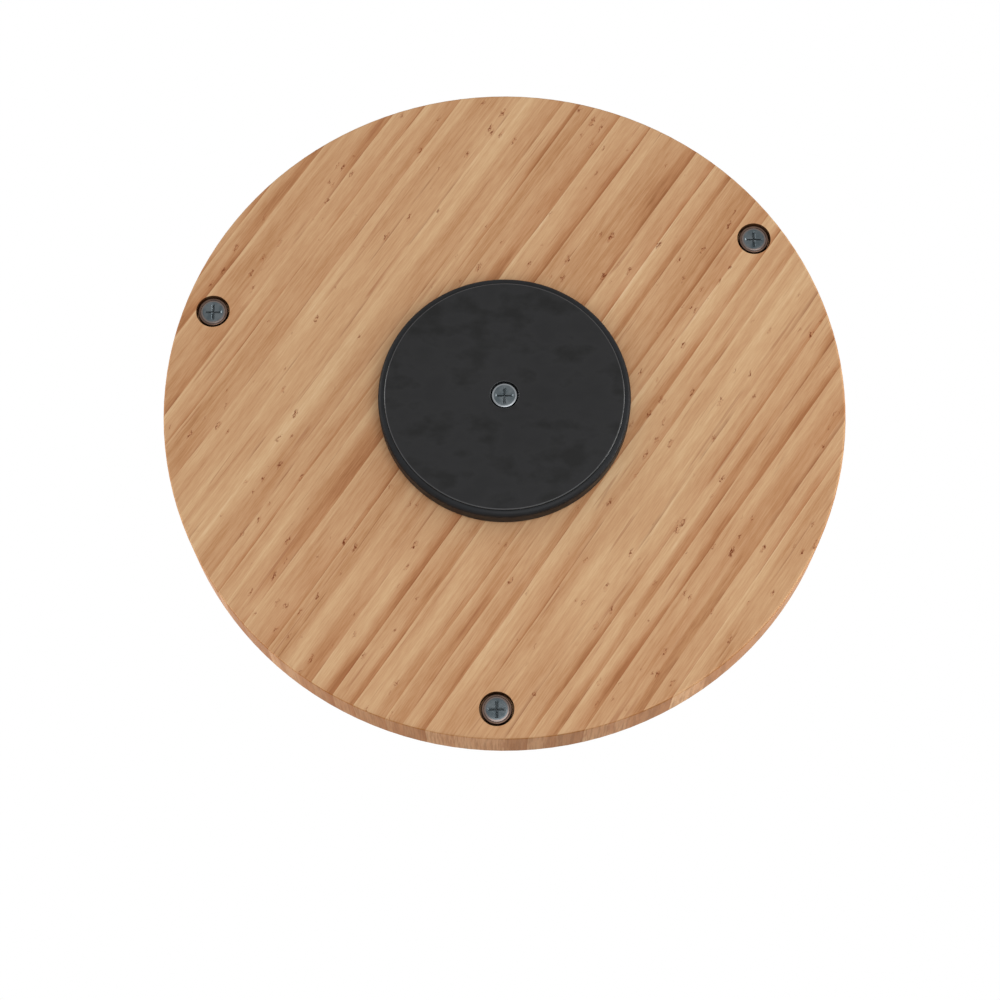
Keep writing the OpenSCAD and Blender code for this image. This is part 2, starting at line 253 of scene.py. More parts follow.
@dataclass(frozen=True)
class OiledStaves(Finish):
    """Quarter-sawn hardwood staves, glued edge to edge, sanded and oiled.

    Broad soft bands run along the grain. Some of them deepen to reddish late wood and end in a sharp line.
    Fine fibres and thin reddish veins follow the grain, and short dark flecks lie along it or slant over it.
    """

    name: str = "oiled_quarter_sawn_staves"
    grain_deg: float = 69.5  # heading of the grain on the board
    radius: float = 127.0  # of the board, where the end grain shows
    rim_fade: tuple[float, float] = (0.4, 0.1)  # how deep the rim's look starts and is full
    bored: float = 4.0  # depth below that radius from which holes are bored
    tones: tuple[str, ...] = ("#92643F", "#A97953", "#B88961", "#C39770", "#CBA27A", "#D3AE85", "#DCBB94")
    ground: float = -0.73  # tone of the wood before the layers below are added
    band: float = 9.5  # usual width of a growth band
    uneven: float = 2.6  # how unevenly wide the bands are
    phase: float = 4.3  # bands by which the pattern is shifted across the board
    wander: float = 5.0  # how far a line strays to the side
    late_power: float = 2.2  # how far the late wood keeps to the end of its band
    seam: float = 0.93  # share of a band past which its dark seam shows
    pale: float = 0.14  # share of a band over which its pale early wood fades
    # The growth layers stand upright in the board, so every layer of the figure is deep.
    stray: Figure = Figure((170, 30, 150), 3, 3.1)  # the way in which lines stray
    soft: Figure = Figure((300, 8, 80), 2, 1.3)  # broad soft bands
    cloud: Figure = Figure((34, 6, 30), 2, 2.7)  # shorter clouds in them
    streak: Figure = Figure((130, 2.2, 50), 2, 5.2)  # long streaks
    line: Figure = Figure((34, 0.65, 18), 2, 9.4)  # growth lines
    fibre: Figure = Figure((5, 0.45, 6), 2, 7.7)  # fibres, drawn wider than the real 0.1 so that they show
    swell: Figure = Figure((46, 7, 60), 2, 4.4)  # the way in which late wood deepens and fades along a band
    dash: Figure = Figure((22, 9, 12), 2, 3.9)  # dashes into which the dark seams break up
    vein: Figure = Figure((260, 3.4, 90), 1, 8.8)  # veins, which lie where this is halfway
    vein_break: Figure = Figure((30, 5, 30), 2, 6.1)  # pieces into which the veins break up
    flecks: tuple[Flecks, ...] = (Flecks(2, 2.4), Flecks(11, 6.5))

    def _bands(
        self, tree: bpy.types.NodeTree, grain: bpy.types.Node, across: bpy.types.Node
    ) -> tuple[bpy.types.Node, bpy.types.Node, bpy.types.Node, bpy.types.NodeSocket]:
        """Splits the board into growth bands of uneven widths that deepen towards one side.

        Args:
            tree: node tree of the material.
            grain: coordinates along and across the grain.
            across: distance across the grain, with its wander.

        Returns:
            How deep the late wood is, 0 in most of a band and highest at its sharp edge; one on the dark
            dashes along that edge; one on the pale early wood past it; and a random number from 0 to 1 for
            each band.
        """
        even = add_node(tree, "Math", across, 1 / self.band, self.phase, operation="MULTIPLY_ADD")
        inputs = {"W": even, "Scale": 0.45, "Detail": 1.0}  # widths drift over about two bands
        drift = add_node(tree, "TexNoise", named=inputs, noise_dimensions="1D")
        count = add_node(tree, "Math", drift, self.uneven, even, operation="MULTIPLY_ADD")
        through = add_node(tree, "Math", count, operation="FRACT")
        number = add_node(tree, "Math", count, operation="FLOOR")
        chance = add_node(tree, "TexWhiteNoise", named={"W": number}, noise_dimensions="1D").outputs["Value"]
        swell = add_node(tree, "MapRange", self.swell.spread(tree, grain), 0.35, 0.65, 0.35, 1.65)
        most = add_node(tree, "Math", chance, swell, operation="MULTIPLY")
        late = add_node(tree, "Math", through, self.late_power, operation="POWER")
        late = add_node(tree, "Math", late, most, operation="MULTIPLY")
        seam = add_node(tree, "MapRange", through, self.seam, 1.0)
        broken = add_node(tree, "MapRange", self.dash.spread(tree, grain), 0.5, 0.62)
        dashes = add_node(tree, "Math", seam, broken, operation="MULTIPLY")
        return late, dashes, add_node(tree, "MapRange", through, 0.0, self.pale, 1.0, 0.0), chance

    def _veins(self, tree: bpy.types.NodeTree, grain: bpy.types.Node) -> bpy.types.Node:
        """Draws thin broken lines along the grain.

        Args:
            tree: node tree of the material.
            grain: coordinates along and across the grain.

        Returns:
            One in the middle of a line and 0 away from it.
        """
        off = add_node(tree, "Math", self.vein.spread(tree, grain), 0.5, operation="SUBTRACT")
        off = add_node(tree, "Math", off, operation="ABSOLUTE")
        thin = add_node(tree, "MapRange", off, 0.0, 0.03, 1.0, 0.0, interpolation_type="SMOOTHSTEP")
        broken = self.vein_break.spread(tree, grain)
        kept = add_node(tree, "MapRange", broken, 0.52, 0.66, interpolation_type="SMOOTHSTEP")
        return add_node(tree, "Math", thin, kept, operation="MULTIPLY")

    def paint(self, tree: bpy.types.NodeTree, place: bpy.types.NodeSocket) -> dict[str, Any]:
        """Adds the bands, fibres, veins, flecks and end grain.

        Args:
            tree: node tree of the material.
            place: Object coordinates, in metres.

        Returns:
            What each input of the Principled shader gets.
        """
        turn = (0, 0, math.radians(self.grain_deg))
        grain = add_node(tree, "Mapping", place, None, turn, (MM,) * 3, vector_type="TEXTURE")
        axes = add_node(tree, "SeparateXYZ", grain)
        stray = self.stray.spread(tree, grain)
        across = add_node(tree, "Math", stray, self.wander, axes.outputs["Y"], operation="MULTIPLY_ADD")
        late, dashes, pale, chance = self._bands(tree, grain, across)
        streak, line, fibre = (figure.spread(tree, grain) for figure in (self.streak, self.line, self.fibre))
        layers = (
            (self.soft.spread(tree, grain), 0.86),
            (self.cloud.spread(tree, grain), 0.48),
            (streak, 0.54),
            (line, 0.34),
            (fibre, 0.44),
            (late, -0.54),
            (pale, 0.1),
        )
        tone = self.ground
        for layer, weight in layers:
            tone = add_node(tree, "Math", layer, weight, tone, operation="MULTIPLY_ADD")
        last = len(self.tones) - 1
        colour = add_node(tree, "ValToRGB", tone, stops={i / last: c for i, c in enumerate(self.tones)})

        # End grain on the rim drinks more oil, so it is darker the more squarely the grain meets it.
        level = add_node(tree, "VectorMath", place, (1, 1, 0), operation="MULTIPLY")
        out = add_node(tree, "VectorMath", level, operation="LENGTH").outputs["Value"]
        start, full = ((self.radius - depth) * MM for depth in self.rim_fade)
        rim = add_node(tree, "MapRange", out, start, full)
        square = add_node(tree, "Math", axes.outputs["X"], 1 / self.radius, operation="MULTIPLY")
        square = add_node(tree, "Math", square, 2.0, operation="POWER")
        end_grain = add_node(tree, "Math", rim, square, operation="MULTIPLY")
        block = add_node(tree, "MapRange", chance, 0.35, 0.7)
        block = add_node(tree, "Math", rim, block, operation="MULTIPLY")
        upright = add_node(tree, "MapRange", line, 0.44, 0.6)
        upright = add_node(tree, "Math", rim, upright, operation="MULTIPLY")
        # The cutter scorches the walls of the holes that it bores, which lie inside the rim; their near black
        # is also painted shade.
        tilt = add_node(tree, "SeparateXYZ", add_node(tree, "TexCoord").outputs["Normal"])
        face = add_node(tree, "Math", tilt.outputs["Z"], operation="ABSOLUTE")
        face = add_node(tree, "Math", face, 0.5, operation="GREATER_THAN")
        wall = add_node(tree, "Math", 1.0, face, operation="SUBTRACT")
        inside = add_node(tree, "Math", out, (self.radius - self.bored) * MM, operation="LESS_THAN")
        scorch_and_painted_shade = add_node(tree, "Math", inside, wall, operation="MULTIPLY")
        stains = [
            (late, 0.4, "#B57853"),  # late wood is redder
            (dashes, 0.5, "#7D462D"),  # dark dashes where a band ends
            (self._veins(tree, grain), 0.42, "#94583A"),  # thin reddish veins
            *(stain for flecks in self.flecks for stain in flecks.scatter(tree, grain, face)),
            (rim, 0.28, "#A06426"),  # the rim is deeper and yellower than the faces
            (block, 0.56, "#8A5220"),  # its staves differ in tone
            (upright, 0.46, "#7C4C20"),  # growth lines stand upright on it
            (end_grain, 0.2, "#7A4B22"),  # end grain is darkest
            (scorch_and_painted_shade, 0.86, "#41200D"),  # bored holes' walls: scorched dark brown and painted shade
        ]
        for share, strength, stain in stains:
            factor = add_node(tree, "Math", share, strength, operation="MULTIPLY")
            inputs = {"Factor": factor, "A": colour, "B": linear(stain)}
            colour = add_node(tree, "Mix", named=inputs, data_type="RGBA").outputs["Result"]

        # Streaks that took more oil are smoother, and the sanded rim has a sheen.
        rough = add_node(tree, "MapRange", streak, 0.3, 0.7, 0.78, 0.64)
        return {
            "Base Color": colour,
            "Roughness": add_node(tree, "MapRange", rim, 0.0, 1.0, rough, 0.35),
            "IOR": 1.45,
            "Specular IOR Level": 0.011,
            "Normal": add_node(tree, "Bump", named={"Height": fibre, "Strength": 0.12, "Distance": 0.2 * MM}),
        }


@dataclass(frozen=True)
class CloudedBlack(Finish):
    """Black plastic, rubber or powder coat, whose level faces are dulled by handling in cloudy patches."""

    name: str = "moulded_black_abs"
    dark: str = "#0C0D0F"
    light: str = "#141619"
    rough: tuple[float, float] = (0.42, 0.55)  # roughness of level faces
    edge_rough: float = 0.5  # roughness of edges and walls
    specular: float = 0.2  # specular level
    patch: float = 9.0  # size of a dull patch
    grit: float = 0.35  # size of the surface's texture, drawn coarser than the real 0.05 so that it shows
    clean: float = 0.55  # level of the clouds from which a face is clean
    wipe_deg: float = 125.0  # heading in which hands wipe the patches long

    def paint(self, tree: bpy.types.NodeTree, place: bpy.types.NodeSocket) -> dict[str, Any]:
        """Adds the patches, the fine texture and the finish of the edges.

        Args:
            tree: node tree of the material.
            place: Object coordinates, in metres.

        Returns:
            What each input of the Principled shader gets.
        """
        turn = (0, 0, math.radians(self.wipe_deg))
        wiped = add_node(tree, "Mapping", place, None, turn, vector_type="TEXTURE")
        cloud = Figure((self.patch * 1.5, self.patch, self.patch), 6, 2.2).spread(tree, wiped, MM)
        grit = Figure((self.grit,) * 3, 2, 5.5).spread(tree, place, MM)
        rough = add_node(tree, "MapRange", cloud, 0.35, 0.65, *self.rough)
        tilt = add_node(tree, "SeparateXYZ", add_node(tree, "TexCoord").outputs["Normal"])
        level = add_node(tree, "Math", tilt.outputs["Z"], operation="ABSOLUTE")
        return {
            "Base Color": add_node(tree, "ValToRGB", cloud, stops={0.34: self.dark, self.clean: self.light}),
            "Roughness": add_node(tree, "MapRange", level, 0.8, 0.99, self.edge_rough, rough),
            "IOR": 1.5,
            "Specular IOR Level": self.specular,
            "Normal": add_node(tree, "Bump", named={"Height": grit, "Strength": 0.15, "Distance": 0.05 * MM}),
        }


@dataclass(frozen=True)
class Metal(Finish):
    """Bare or plated metal with faint mottling and a lighter bevel band: painted reflection, with some
    rubbing.
    """

    name: str = "metal"
    dark: str = "#6E777B"
    light: str = "#87909A"
    rough: tuple[float, float] = (0.25, 0.4)
    mottle: float = 1.4  # size of the mottling
    scratch: float = 0.3  # size of the finest marks
    # colour of the bevel band: painted reflection of what lies round the head, with some rubbing
    rubbed: str = "#A6A9AB"
    rub_and_painted_sheen: float = 0.0  # how much the bevel band's colour shows: painted reflection and rubbing
    painted_sheen_level: float = 0.973  # upright share of the normal on the bevel band that gets that colour

    def paint(self, tree: bpy.types.NodeTree, place: bpy.types.NodeSocket) -> dict[str, Any]:
        """Adds the mottling, the rubbed edges and the fine marks.

        Args:
            tree: node tree of the material.
            place: Object coordinates, in metres.

        Returns:
            What each input of the Principled shader gets.
        """
        mottle = Figure((self.mottle,) * 3, 3, 1.1).spread(tree, place, MM)
        marks = Figure((self.scratch,) * 3, 2, 4.4).spread(tree, place, MM)
        plain = add_node(tree, "ValToRGB", mottle, stops={0.35: self.dark, 0.65: self.light})
        tilt = add_node(tree, "SeparateXYZ", add_node(tree, "TexCoord").outputs["Normal"])
        level = add_node(tree, "Math", tilt.outputs["Z"], operation="ABSOLUTE")
        # Painted reflection: faces at the bevel's slope get a lighter colour that stands for the light they
        # reflect, with some rubbing.
        edge = add_node(tree, "Math", level, self.painted_sheen_level, 0.02, operation="COMPARE")
        edge = add_node(tree, "Math", edge, self.rub_and_painted_sheen, operation="MULTIPLY")
        inputs = {"Factor": edge, "A": plain, "B": linear(self.rubbed)}
        bump = {"Height": marks, "Strength": 0.08, "Distance": 0.02 * MM}
        return {
            "Base Color": add_node(tree, "Mix", named=inputs, data_type="RGBA").outputs["Result"],
            "Metallic": 1.0,
            "Roughness": add_node(tree, "MapRange", marks, 0.3, 0.7, *self.rough),
            "Normal": add_node(tree, "Bump", named=bump),
        }


@dataclass(frozen=True)
class MouldedNylon(Finish):
    """Natural nylon out of a mould: milky, with faint flow marks."""

    name: str = "moulded_natural_nylon"

    def paint(self, tree: bpy.types.NodeTree, place: bpy.types.NodeSocket) -> dict[str, Any]:
        """Adds the flow marks.

        Args:
            tree: node tree of the material.
            place: Object coordinates, in metres.

        Returns:
            What each input of the Principled shader gets.
        """
        flow = Figure((6.0, 6.0, 1.5), 3, 3.3).spread(tree, place, MM)
        return {
            "Base Color": add_node(tree, "ValToRGB", flow, stops={0.35: "#D6D0BE", 0.65: "#E6E1D2"}),
            "Roughness": add_node(tree, "MapRange", flow, 0.3, 0.7, 0.35, 0.48),
            "IOR": 1.53,
        }


# Sanded and oiled hardwood: warm, with hardly a sheen on its faces.
STAVES = OiledStaves()
# ABS out of a polished mould: near black, with a dull sheen on its rounded shoulder.
SHELL_BLACK = CloudedBlack()
# Moulded rubber: matt charcoal, with cloudy patches that handling has wiped darker.
PAD_BLACK = CloudedBlack(
    "moulded_rubber_pad",
    "#0B0B0B",
    "#1F1F20",
    rough=(0.62, 0.75),
    edge_rough=0.2,
    specular=0.24,
    patch=8.0,
    grit=0.3,
    clean=0.5,
)
# The same rubber where it is rubbed smooth: it catches the light as a thin bright ring.
PAD_EDGE = CloudedBlack(
    "rubbed_rubber_edge",
    "#0B0B0C",
    "#202123",
    rough=(0.62, 0.75),
    edge_rough=0.18,
    specular=0.65,
    patch=4.0,
    grit=0.3,
)
# Powder coat, sprayed and baked: satin black, with a fine pebbled texture.
POWDER_BLACK = CloudedBlack(
    "powder_coated_steel",
    "#141415",
    "#1B1B1C",
    rough=(0.4, 0.5),
    edge_rough=0.42,
    specular=0.5,
    patch=14.0,
    grit=0.6,
)
# Zinc plate from a blue bath: cool grey, with a warmer grey on the bevel that is painted reflection of the
# wood round it, and some rubbing.
BLUE_ZINC = Metal(
    "blue_zinc_plated_steel", "#4B5357", "#5F6568", (0.2, 0.3), mottle=2.5, rubbed="#6E625D", rub_and_painted_sheen=1.0
)
# The same plate on the centre screw, in reach of hands: its bevel is lighter still, a painted highlight with
# some rubbing.
RUBBED_AND_SHEEN_ZINC = Metal(
    "rubbed_zinc_with_painted_sheen", "#4F575B", "#63696C", (0.2, 0.3), mottle=2.5, rubbed="#85898C", rub_and_painted_sheen=1.0
)
# Zinc plate from a yellow bath, deep in its hole: duller, and dark brown, which is partly painted shade of
# the hole.
YELLOW_ZINC_IN_PAINTED_SHADE = Metal("yellow_zinc_in_painted_shade", "#503F36", "#5F4C42", (0.3, 0.42), mottle=2.5)
# Steel sheet from the press: plain grey, with a soft shine.
RACE = Metal("pressed_race_steel", "#8F9294", "#A6A9AB", (0.25, 0.4), mottle=3.0)
# Ground and polished steel: pale and nearly a mirror.
BALLS = Metal("polished_bearing_steel", "#B4B7B9", "#C4C7C9", (0.06, 0.12), mottle=4.0)
# Brass off the lathe: yellow, with a clear shine.
BRASS = Metal("turned_insert_brass", "#AE8A45", "#C7A55C", (0.22, 0.34), mottle=2.0)
# Nylon out of a mould: milky white, with a mild gloss.
NYLON = MouldedNylon()


# ---------------------------------------------------------------- meshes


def arc(centre: tuple[float, float], radius: float, start: float, end: float, steps: int = 6) -> Profile:
    """Points along an arc of a profile.

    Args:
        centre: centre of the arc.
        radius: radius of the arc.
        start: angle at which the arc starts.
        end: angle at which it ends.
        steps: number of straight steps in the arc.

    Returns:
        The points, with both ends.
    """
    turns = (math.radians(start + (end - start) * i / steps) for i in range(steps + 1))
    return [(centre[0] + radius * math.cos(t), centre[1] + radius * math.sin(t)) for t in turns]


def turned(profile: Profile, steps: int = 96, closed: bool = False) -> bmesh.types.BMesh:
    """Spins a profile about the Z axis, as on a lathe.

    Args:
        profile: distances from the axis and heights, in millimetres.
        steps: number of steps in the full turn.
        closed: whether the last point joins the first, as for a ring.

    Returns:
        The turned mesh, in millimetres.
    """
    shape = bmesh.new()
    points = [shape.verts.new((r, 0, z)) for r, z in profile]
    edges = [shape.edges.new(pair) for pair in zip(points, points[1:])]
    if closed:
        edges.append(shape.edges.new((points[-1], points[0])))
    outline = [*points, *edges]
    bmesh.ops.spin(
        shape, geom=outline, cent=(0, 0, 0), axis=(0, 0, 1), angle=math.tau, steps=steps, use_merge=True
    )
    bmesh.ops.remove_doubles(shape, verts=shape.verts, dist=1e-5)
    bmesh.ops.recalc_face_normals(shape, faces=shape.faces)
    return shape


def corners(node: str) -> tuple[Vector, Vector]:
    """Lowest and highest corner of a node of the frame, in millimetres."""
    low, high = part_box(node)
    return low / MM, high / MM


def foot_of(low: Vector, high: Vector) -> Vector:
    """Middle of the lower face of the box with these corners."""
    return Vector(((low.x + high.x) / 2, (low.y + high.y) / 2, low.z))


def smooth(shape: bmesh.types.BMesh) -> None:
    """Shades a mesh smooth but for its sharp edges.

    Args:
        shape: the mesh.
    """
    for face in shape.faces:
        face.smooth = True
    for edge in shape.edges:
        edge.smooth = edge.is_manifold and edge.calc_face_angle(0.0) < math.radians(SHARP_DEG)


def finished(shape: bmesh.types.BMesh, name: str, at: Vector | None = None) -> bpy.types.Object:
    """Makes an object of a mesh, with its place in its mesh.

    Args:
        shape: the mesh, in millimetres. It is freed.
        name: name of the piece.
        at: where the mesh's origin goes, in millimetres.

    Returns:
        The object, linked to the scene.
    """
    to_metres = Matrix.Scale(MM, 4) @ Matrix.Translation(at or Vector())
    bmesh.ops.transform(shape, matrix=to_metres, verts=shape.verts)
    smooth(shape)
    mesh = bpy.data.meshes.new(name)
    shape.to_mesh(mesh)
    shape.free()
    piece = bpy.data.objects.new(name, mesh)
    bpy.context.scene.collection.objects.link(piece)
    return piece


def carve(piece: bpy.types.Object, cutter: bpy.types.Object) -> None:
    """Cuts one object out of another and removes the cutter.

    Args:
        piece: the object to cut. Its mesh is replaced.
        cutter: a closed object.
    """
    cut = piece.modifiers.new("cut", "BOOLEAN")
    cut.operation, cut.solver, cut.object = "DIFFERENCE", "EXACT", cutter
    carved = bpy.data.meshes.new_from_object(piece.evaluated_get(bpy.context.evaluated_depsgraph_get()))
    piece.modifiers.clear()
    piece.data = carved
    bpy.data.objects.remove(cutter)
    shape = bmesh.new()
    shape.from_mesh(carved)
    smooth(shape)
    shape.to_mesh(carved)
    shape.free()


def dress(piece: bpy.types.Object, finish: Finish) -> bpy.types.Object:
    """Gives a piece its finish in place of any other.

    Args:
        piece: the piece.
        finish: what it is made of.

    Returns:
        The same piece.
    """
    piece.data.materials.clear()
    piece.data.materials.append(finish.material())
    return piece


def stand_for(piece: bpy.types.Object, node: str, body: Body, finish: Finish) -> bpy.types.Object:
    """Puts a new piece in the place of a node of the frame.

    Args:
        piece: the new piece.
        node: the node that it stands for.
        body: the body that it rides on.
        finish: what it is made of.

    Returns:
        The same piece.
    """
    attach(piece, body.value)
    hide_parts(node)
    return dress(piece, finish)


# ---------------------------------------------------------------- sub-assemblies


class SubAssembly:
    """Pieces that are built and dressed together."""

    def build(self) -> Iterable[bpy.types.Object]:
        """Builds and dresses the pieces.

        Returns:
            The pieces, in order.
        """
        raise NotImplementedError


@dataclass
class FrameParts(SubAssembly):
    """Pieces whose form the frame already gives, so that they only need a finish."""

    finishes: dict[str, Finish] = field(default_factory=dict)

    def build(self) -> Iterable[bpy.types.Object]:
        """Dresses the pieces.

        Returns:
            The pieces, in order.
        """
        return [dress(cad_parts[node], finish) for node, finish in self.finishes.items()]


@dataclass
class Board(FrameParts):
    """The wooden board and the brass insert in it."""

    finishes: dict[str, Finish] = field(default_factory=lambda: {"board": STAVES, "threaded_insert": BRASS})


@dataclass
class Base(SubAssembly):
    """The moulded shell and the pad on which the turntable stands."""

    pad_edge: float = 0.5  # radius of the pad's lower edge
    hole_edge: float = 0.15  # radius of the lower edge of its hole
    hole_d: float = 10.6  # of the opening round the centre screw's head
    level: float = 0.995  # upright share of the normal from which a face counts as level
    steps: int = 160  # of the pad's round outline

    def _pad(self) -> bpy.types.Object:
        """Turns the pad, with its lower edges rounded.

        Returns:
            The pad.
        """
        low, high = corners("base_pad")
        out, inner = high.x, self.hole_d / 2
        profile = [
            *arc((inner + self.hole_edge, low.z + self.hole_edge), self.hole_edge, 180, 270, steps=3),
            *arc((out - self.pad_edge, low.z + self.pad_edge), self.pad_edge, 270, 360),
            (out, high.z),
            (inner, high.z),
        ]
        return finished(turned(profile, self.steps, closed=True), "non_slip_pad")

    def _rub_edges(self, pad: bpy.types.Object) -> None:
        """Gives the pad's edges a finish of their own.

        Args:
            pad: the dressed pad.
        """
        pad.data.materials.append(PAD_EDGE.material())
        for face in pad.data.polygons:
            face.material_index = int(abs(face.normal.z) < self.level)

    def build(self) -> Iterable[bpy.types.Object]:
        """Dresses the shell and builds the pad.

        Returns:
            The pieces, in order.
        """
        pad = stand_for(self._pad(), "base_pad", Body.BASE, PAD_BLACK)
        self._rub_edges(pad)
        return [dress(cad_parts["base_shell"], SHELL_BLACK), pad]


@dataclass
class Bearing(FrameParts):
    """The races, balls, cage, sleeve and washers hidden between the shell and the board."""

    finishes: dict[str, Finish] = field(
        default_factory=lambda: {
            "lower_race": RACE,
            "upper_race": RACE,
            "bearing_balls": BALLS,
            "ball_cage": NYLON,
            "thrust_washer": NYLON,
            "pivot_sleeve": RACE,
            "plate_screws": BLUE_ZINC,
        }
    )


@dataclass(frozen=True)
class Wedge:
    """Sizes of a slot with four sloping walls."""

    length: float  # at the face
    width: float  # at the face
    bottom_length: float
    bottom_width: float
    depth: float

    def cutter(self, turn: float, share: float = 1.0) -> bmesh.types.BMesh:
        """Makes the solid that cuts the slot, with its mouth at z = 0 and its bottom above.

        Args:
            turn: heading of the slot.
            share: share of the full depth.

        Returns:
            The closed mesh, in millimetres.
        """
        shape = bmesh.new()
        bmesh.ops.create_cube(shape, size=1.0)
        run = 2.0  # the solid starts one depth outside the face, so its walls pass the face at their slope
        for vert in shape.verts:
            rise = (0.5 - vert.co.z) * run
            vert.co.x *= self.bottom_length + (self.length - self.bottom_length) * rise
            vert.co.y *= self.bottom_width + (self.width - self.bottom_width) * rise
            vert.co.z = self.depth * share * (1 - rise)
        turned_by = Matrix.Rotation(math.radians(turn), 3, "Z")
        bmesh.ops.rotate(shape, cent=(0, 0, 0), matrix=turned_by, verts=shape.verts)
        bmesh.ops.recalc_face_normals(shape, faces=shape.faces)
        return shape


@dataclass
class CrossRecess:
    """Cross recess in a screw head: each arm is a narrow slot between gently sloping flanks."""

    flanks: Wedge = Wedge(length=6.6, width=1.2, bottom_length=5.66, bottom_width=0.5, depth=0.35)
    slot: Wedge = Wedge(length=5.6, width=0.4, bottom_length=4.8, bottom_width=0.05, depth=1.1)
    core_d: float = 1.1  # of the tapered core at the face
    core_depth: float = 1.2
    turn: float = 35.0  # heading of its first arm
    second_share: float = 0.93  # of the second arm's depth, as floors at one depth would leave slivers

    def _core(self) -> bmesh.types.BMesh:
        """Makes the cone that cuts the core.

        Returns:
            The closed mesh, in millimetres.
        """
        shape = bmesh.new()
        bmesh.ops.create_cone(
            shape, cap_ends=True, segments=24, radius1=self.core_d, radius2=0.0, depth=2 * self.core_depth
        )
        return shape

    def cutters(self) -> list[bmesh.types.BMesh]:
        """Returns the solids that cut the recess. The face that they cut is at z = 0, and they reach up."""
        arms = ((self.turn, 1.0), (self.turn + 90, self.second_share))
        return [wedge.cutter(*arm) for wedge in (self.flanks, self.slot) for arm in arms] + [self._core()]


@dataclass
class PanScrew:
    """Pan head screw: the head hangs down and the thread stands up."""

    node: str
    name: str
    finish: Finish
    head_h: float = 3.0
    crown: float = 0.06  # height by which the middle of the head stands out
    crown_steps: int = 6
    bevel: float = 0.55  # width of the bevel at the head's edge
    bevel_deg: float = 11.0
    edge: float = 0.1  # radius of the edge past the bevel, and width of the break at the head's back
    shank_d: float = 4.8
    pitch: float = 1.06  # of the thread
    thread_depth: float = 0.5
    root: tuple[float, float] = (0.45, 0.55)  # where a groove's floor starts and ends in a pitch
    steps: int = 64  # of the round outline
    recess: CrossRecess = field(default_factory=CrossRecess)

    def _profile(self, head_r: float, length: float) -> Profile:
        """Works out the outline of the screw, from the middle of its face to its tip.

        Args:
            head_r: radius of the head.
            length: whole length of the screw.

        Returns:
            The outline, with the middle of the face at the origin.
        """
        shank_r, root_r = self.shank_d / 2, self.shank_d / 2 - self.thread_depth
        flat_r = head_r - self.edge - self.bevel
        shares = [i / self.crown_steps for i in range(self.crown_steps + 1)]
        outline = [(flat_r * share, self.crown * share**3) for share in shares]
        foot = self.crown + self.bevel * math.tan(math.radians(self.bevel_deg))
        outline += arc((head_r - self.edge, foot + self.edge), self.edge, 270, 360, steps=3)
        outline += [
            (head_r, self.head_h - self.edge),
            (head_r - self.edge, self.head_h),
            (shank_r, self.head_h),
        ]
        tip = length - shank_r
        ridges = int((tip - self.head_h - self.pitch) / self.pitch)
        for i in range(ridges):
            base = self.head_h + self.pitch * (i + 1)
            outline += [(shank_r, base), *((root_r, base + self.pitch * share) for share in self.root)]
        return [*outline, (shank_r, tip), (shank_r / 2, length), (0.0, length)]

    def build(self) -> bpy.types.Object:
        """Builds and dresses the screw in the place of its node.

        Returns:
            The screw.
        """
        low, high = corners(self.node)
        foot = foot_of(low, high)
        profile = self._profile((high.x - low.x) / 2, high.z - low.z)
        screw = finished(turned(profile, self.steps), self.name, foot)
        for cutter in self.recess.cutters():
            carve(screw, finished(cutter, "cross_cutter", foot))
        return stand_for(screw, self.node, Body.BOARD, self.finish)


@dataclass
class CupWasher:
    """Cup washer round a rim screw's head: its lip is level with the head and its floor is under it."""

    node: str
    name: str
    pocket_d: float = 9.36  # of the pocket for the head
    hole_d: float = 5.0
    floor_t: float = 1.2
    lip: float = 0.45  # radius of the lip's outer edge
    lip_inner: float = 0.12  # radius of the lip's inner edge

    def build(self) -> bpy.types.Object:
        """Builds and dresses the washer in the place of its node.

        Returns:
            The washer.
        """
        low, high = corners(self.node)
        out, top = (high.x - low.x) / 2, high.z - low.z
        pocket, hole = self.pocket_d / 2, self.hole_d / 2
        profile = [
            *arc((pocket + self.lip_inner, self.lip_inner), self.lip_inner, 180, 270, steps=3),
            *arc((out - self.lip, self.lip), self.lip, 270, 360, steps=4),
            (out, top),
            (hole, top),
            (hole, top - self.floor_t),
            (pocket, top - self.floor_t),
        ]
        foot = foot_of(low, high)
        washer = finished(turned(profile, closed=True), self.name, foot)
        # The washer's dark brown is partly painted shade of its hole.
        return stand_for(washer, self.node, Body.BOARD, YELLOW_ZINC_IN_PAINTED_SHADE)


@dataclass
class Fasteners(SubAssembly):
    """The four pan head screws and the cup washers of the three at the rim."""

    rim_count: int = 3

    def build(self) -> Iterable[bpy.types.Object]:
        """Builds the screws and washers.

        Returns:
            The pieces, in order.
        """
        pieces = [PanScrew("centre_screw", "centre_pan_screw", RUBBED_AND_SHEEN_ZINC).build()]
        for i in range(1, self.rim_count + 1):
            pieces.append(PanScrew(f"rim_screw_{i}", f"rim_pan_screw_{i}", BLUE_ZINC).build())
            pieces.append(CupWasher(f"rim_washer_{i}", f"rim_cup_washer_{i}").build())
        return pieces


@dataclass
class Gallery(FrameParts):
    """The round rail, its three posts and their set screws."""

    finishes: dict[str, Finish] = field(
        default_factory=lambda: {
            "rail_post_1": POWDER_BLACK,
            "rail_post_2": POWDER_BLACK,
            "rail_post_3": POWDER_BLACK,
            "gallery_rail": POWDER_BLACK,
            "set_screws": BLUE_ZINC,
        }
    )


# ---------------------------------------------------------------- studio


def heading(azimuth: float, elevation: float = 0.0) -> Vector:
    """Unit vector towards a compass heading from +X and an elevation above the horizon, in degrees."""
    turn, rise = math.radians(azimuth), math.radians(elevation)
    return Vector((math.cos(turn) * math.cos(rise), math.sin(turn) * math.cos(rise), math.sin(rise)))


